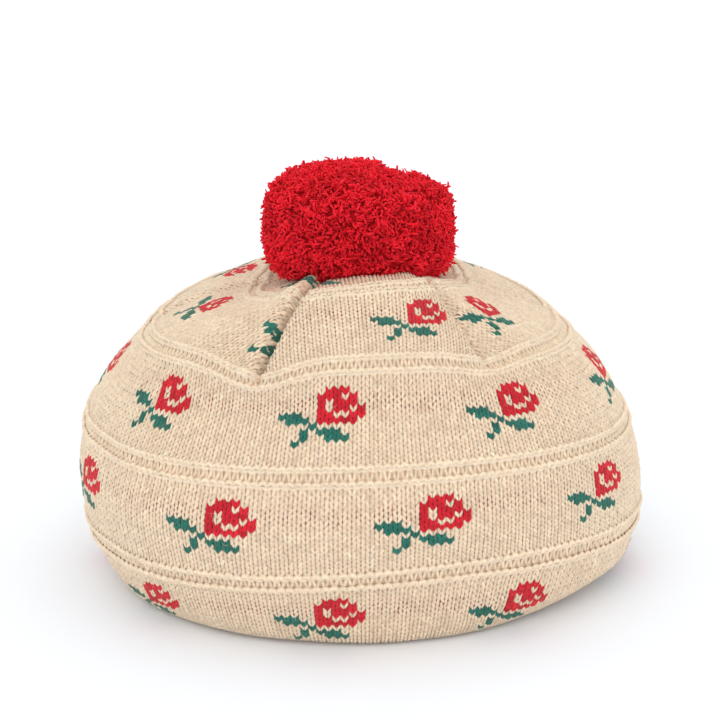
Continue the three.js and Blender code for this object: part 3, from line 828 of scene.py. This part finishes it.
def unflatten(direction):
    """Even directions drawn to the level, so that they are about even on the flattened ball."""
    return unit(direction * (1, 1, TO_LEVEL))


def outward_of(direction):
    """The ball's own normal."""
    p = POM_SQUARENESS - 1
    level = np.hypot(direction[:, 0], direction[:, 1])
    flat = (level / POM_RADIUS) ** p / POM_RADIUS / np.maximum(level, 1e-6)
    up = (np.abs(direction[:, 2]) / POM_HALF_HEIGHT) ** p / POM_HALF_HEIGHT * np.sign(direction[:, 2])
    return unit(np.stack([direction[:, 0] * flat, direction[:, 1] * flat, up], -1))


def crown_height(x, y):
    """Height of the crown's outer face over points given from the hat's axis, read from a table."""
    step = 3  # degrees
    turns = np.radians(np.arange(0, 360, step))
    course, turn = np.meshgrid(np.linspace(APEX_COURSE, CROWN_COURSE, 60), turns, indexing="ij")
    radius, height, _ = place(course, turn, 0)
    reaches = np.arange(70)  # mm by mm from the axis
    table = np.stack([np.interp(reaches, radius[:, k], height[:, k]) for k in range(len(turns))])
    k = np.round(np.degrees(np.arctan2(x, -y)) / step).astype(int) % len(turns)
    return table[k, np.clip(np.round(np.hypot(x, y)), 0, len(reaches) - 1).astype(int)]


def yarn_ends(name, direction):
    """Cut ends of yarn, each frayed into a brush of fibres that leans with its neighbours."""
    n = len(direction)
    outward = outward_of(direction)
    clump = (direction @ TUFTS.T).argmax(1)
    lean = TUFT_LEAN[clump] * BRUSH_LEAN + rng.standard_normal((n, 3)) * BRUSH_LEAN
    axis = outward + lean - (lean * outward).sum(1)[:, None] * outward
    rise = rng.uniform(*END_RISE_RANGE, n) + TUFT_RISE[clump] + POM_STRAY * (rng.random(n) < STRAY_SHARE)
    base = direction * pom_surface(direction)[:, None] - outward * BRUSH_DEPTH
    bright = 1 + BRUSH_TINT_VARIES * rng.standard_normal(n)

    def each(a):
        return np.repeat(a, BRUSH_FIBRES, 0)

    m = n * BRUSH_FIBRES
    heading = unit(each(axis) + BRUSH_SPREAD * rng.standard_normal((m, 3)))
    root = each(base) + ROOT_SPREAD * rng.standard_normal((m, 3))
    length = each(rise + BRUSH_DEPTH)[:, None] * (1 + LENGTH_VARIES * rng.standard_normal((m, 1)))
    curl = CURL * rng.standard_normal((m, 3)) + CURL_SHARED * each(TUFT_LEAN[clump])
    curl -= (curl * heading).sum(1)[:, None] * heading
    centre = np.stack([root + heading * length * up + curl * over for up, over in CURL_PATH], 1)
    along = unit(centre[:, 2] - centre[:, 0])
    e1 = unit(np.cross(along, each(outward) + ASKEW))
    e2 = np.cross(along, e1)
    thick = rng.uniform(*FIBRE_RADIUS, m)
    spin = rng.uniform(0, 2 * np.pi, m)
    # three rings of three vertices, and a tip
    verts = []
    for k, fat in enumerate(FIBRE_SHAPE):
        for j in range(3):
            a = spin + j * 2 * np.pi / 3
            sideways = np.cos(a)[:, None] * e1 + np.sin(a)[:, None] * e2
            verts.append(centre[:, k] + (thick * fat)[:, None] * sideways)
    verts.append(centre[:, 3])
    verts = np.stack(verts, 1)
    tris = []
    for j in range(3):
        k = (j + 1) % 3
        for ring in (0, 3):
            tris += [(j + ring, k + ring, k + ring + 3), (j + ring, k + ring + 3, j + ring + 3)]
        tris.append((j + 6, k + 6, 9))
    faces = (np.arange(m)[:, None, None] * 10 + np.array(tris)[None]).reshape(-1, 3)
    # painted shade and light: fibres darker towards their feet and in sunk tufts, lighter where they stand
    # out
    mix = np.clip(FIBRE_PAINTED_SHADES[None] + PAINTED_LIGHT_PER_RISE * each(rise)[:, None], 0, MIX_MOST)
    mix = mix * np.clip(each(bright), *BRIGHT_RANGE)[:, None]
    colour = POM_RED_IN_PAINTED_SHADE + (POM_TIP - POM_RED_IN_PAINTED_SHADE) * mix[..., None]
    # nothing goes through the crown: fibres wholly under its face are left out
    verts = verts + np.array(POM)
    least = crown_height(verts[..., 0], verts[..., 1]) - POM_SUNK
    seen = (verts[..., 2] > least).any(1)
    verts[..., 2] = np.maximum(verts[..., 2], least)
    verts = verts[seen] * MM + (AXIS.x, AXIS.y, 0)
    faces = faces[:len(faces) // m * len(verts)]
    make(name, verts.reshape(-1, 3), faces, pompom_wool, np.clip(colour[seen], 0, 1).reshape(-1, 3))


def pompom():
    """The yarn ends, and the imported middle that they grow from."""
    direction = unflatten(sphere_points(YARN_ENDS) + END_SCATTER * rng.standard_normal((YARN_ENDS, 3)))
    direction = direction[direction[:, 2] * pom_reach(direction) > POM_FOOT]
    upper = direction[:, 2] > UPPER_FROM
    yarn_ends("pompom_yarn_upper", direction[upper])
    yarn_ends("pompom_yarn_lower", direction[~upper])
    rows, n = MIDDLE_ROWS, MIDDLE_SIDES
    level = np.linspace(0.5, rows - 0.5, rows) / rows * math.pi
    turn = np.arange(n) / n * 2 * math.pi
    a, b = (x.ravel() for x in np.meshgrid(level, turn, indexing="ij"))
    d = unflatten(np.stack([np.sin(a) * np.sin(b), -np.sin(a) * np.cos(b), np.cos(a)], -1))
    body = d * (pom_surface(d) - MIDDLE_UNDER)[:, None] + np.array(POM)
    body[:, 2] = np.maximum(body[:, 2], crown_height(body[:, 0], body[:, 1]) - POM_SUNK)
    i, j = (x.ravel() for x in np.meshgrid(np.arange(rows - 1), np.arange(n), indexing="ij"))
    k = (j + 1) % n
    faces = np.stack([i * n + j, (i + 1) * n + j, (i + 1) * n + k, i * n + k], -1)
    # painted shade on the middle under the yarn ends
    colour = np.repeat(POM_RED_IN_PAINTED_SHADE[None] * MIDDLE_PAINTED_SHADE, len(body), 0)
    make("pompom_middle", body * MM + (AXIS.x, AXIS.y, 0), faces, pompom_wool, colour,
         replaces=("pompom",))


# ---- the pieces: the random draws follow this order ----
STITCHED = (("crown", -9, 18), ("upper_side", 19, 40), ("lower_side", 41, 62), ("underside", 63, 83))
fabric_back()
for region, first_row, last_row in STITCHED:
    knit_stitches("stitches_" + region, first_row, last_row)
purl_ridges()
loose_fibres(HAIRS)
ribbed_band()
pompom()

# ---- the studio ----
scene = bpy.context.scene
scene.view_settings.view_transform = "Standard"
scene.view_settings.exposure = 0.06

FLOOR_HALF = 6
PAPER = (0.88, 0.92, 0.97, 1)
floor_mesh = bpy.data.meshes.new("floor")
floor_mesh.from_pydata([(x * FLOOR_HALF, y * FLOOR_HALF, 0) for x, y in ((-1, -1), (1, -1), (1, 1), (-1, 1))],
                       [], [(0, 1, 2, 3)])
floor = bpy.data.objects.new("floor", floor_mesh)
scene.collection.objects.link(floor)
paper = bpy.data.materials.new("paper")
paper.use_nodes = True
paper.node_tree.nodes["Principled BSDF"].inputs["Base Color"].default_value = PAPER
paper.node_tree.nodes["Principled BSDF"].inputs["Roughness"].default_value = 0.9
floor.data.materials.append(paper)

world = bpy.data.worlds.new("studio")
scene.world = world
world.use_nodes = True
world.node_tree.nodes["Background"].inputs["Color"].default_value = (1, 1, 1, 1)
world.node_tree.nodes["Background"].inputs["Strength"].default_value = 1.0


def broad_light(name, direction, spread, strength):
    """Light from a wide patch of sky, the same all over the floor: its spread is in degrees."""
    data = bpy.data.lights.new(name, "SUN")
    data.angle = math.radians(spread)
    data.energy = strength
    light = bpy.data.objects.new(name, data)
    light.rotation_euler = (-Vector(direction)).to_track_quat("-Z", "Y").to_euler()
    scene.collection.objects.link(light)


broad_light("key", (-0.5, -0.9, 1.2), 50, 0.27)
broad_light("top", (0.3, 0.3, 1.0), 70, 0.2)
broad_light("front", (0.15, -1, 0.0), 50, 0.86)

camera_data = bpy.data.cameras.new("camera")
camera_data.lens = 85
camera_data.sensor_width = 36
camera = bpy.data.objects.new("camera", camera_data)
scene.collection.objects.link(camera)
TARGET = Vector((AXIS.x - 0.0023, AXIS.y, 0.1045))  # the middle of the picture
ELEVATION = math.radians(16)
DISTANCE = 0.85
camera.location = TARGET + DISTANCE * Vector((0, -math.cos(ELEVATION), math.sin(ELEVATION)))
camera.rotation_euler = (TARGET - camera.location).to_track_quat("-Z", "Y").to_euler()
scene.camera = camera
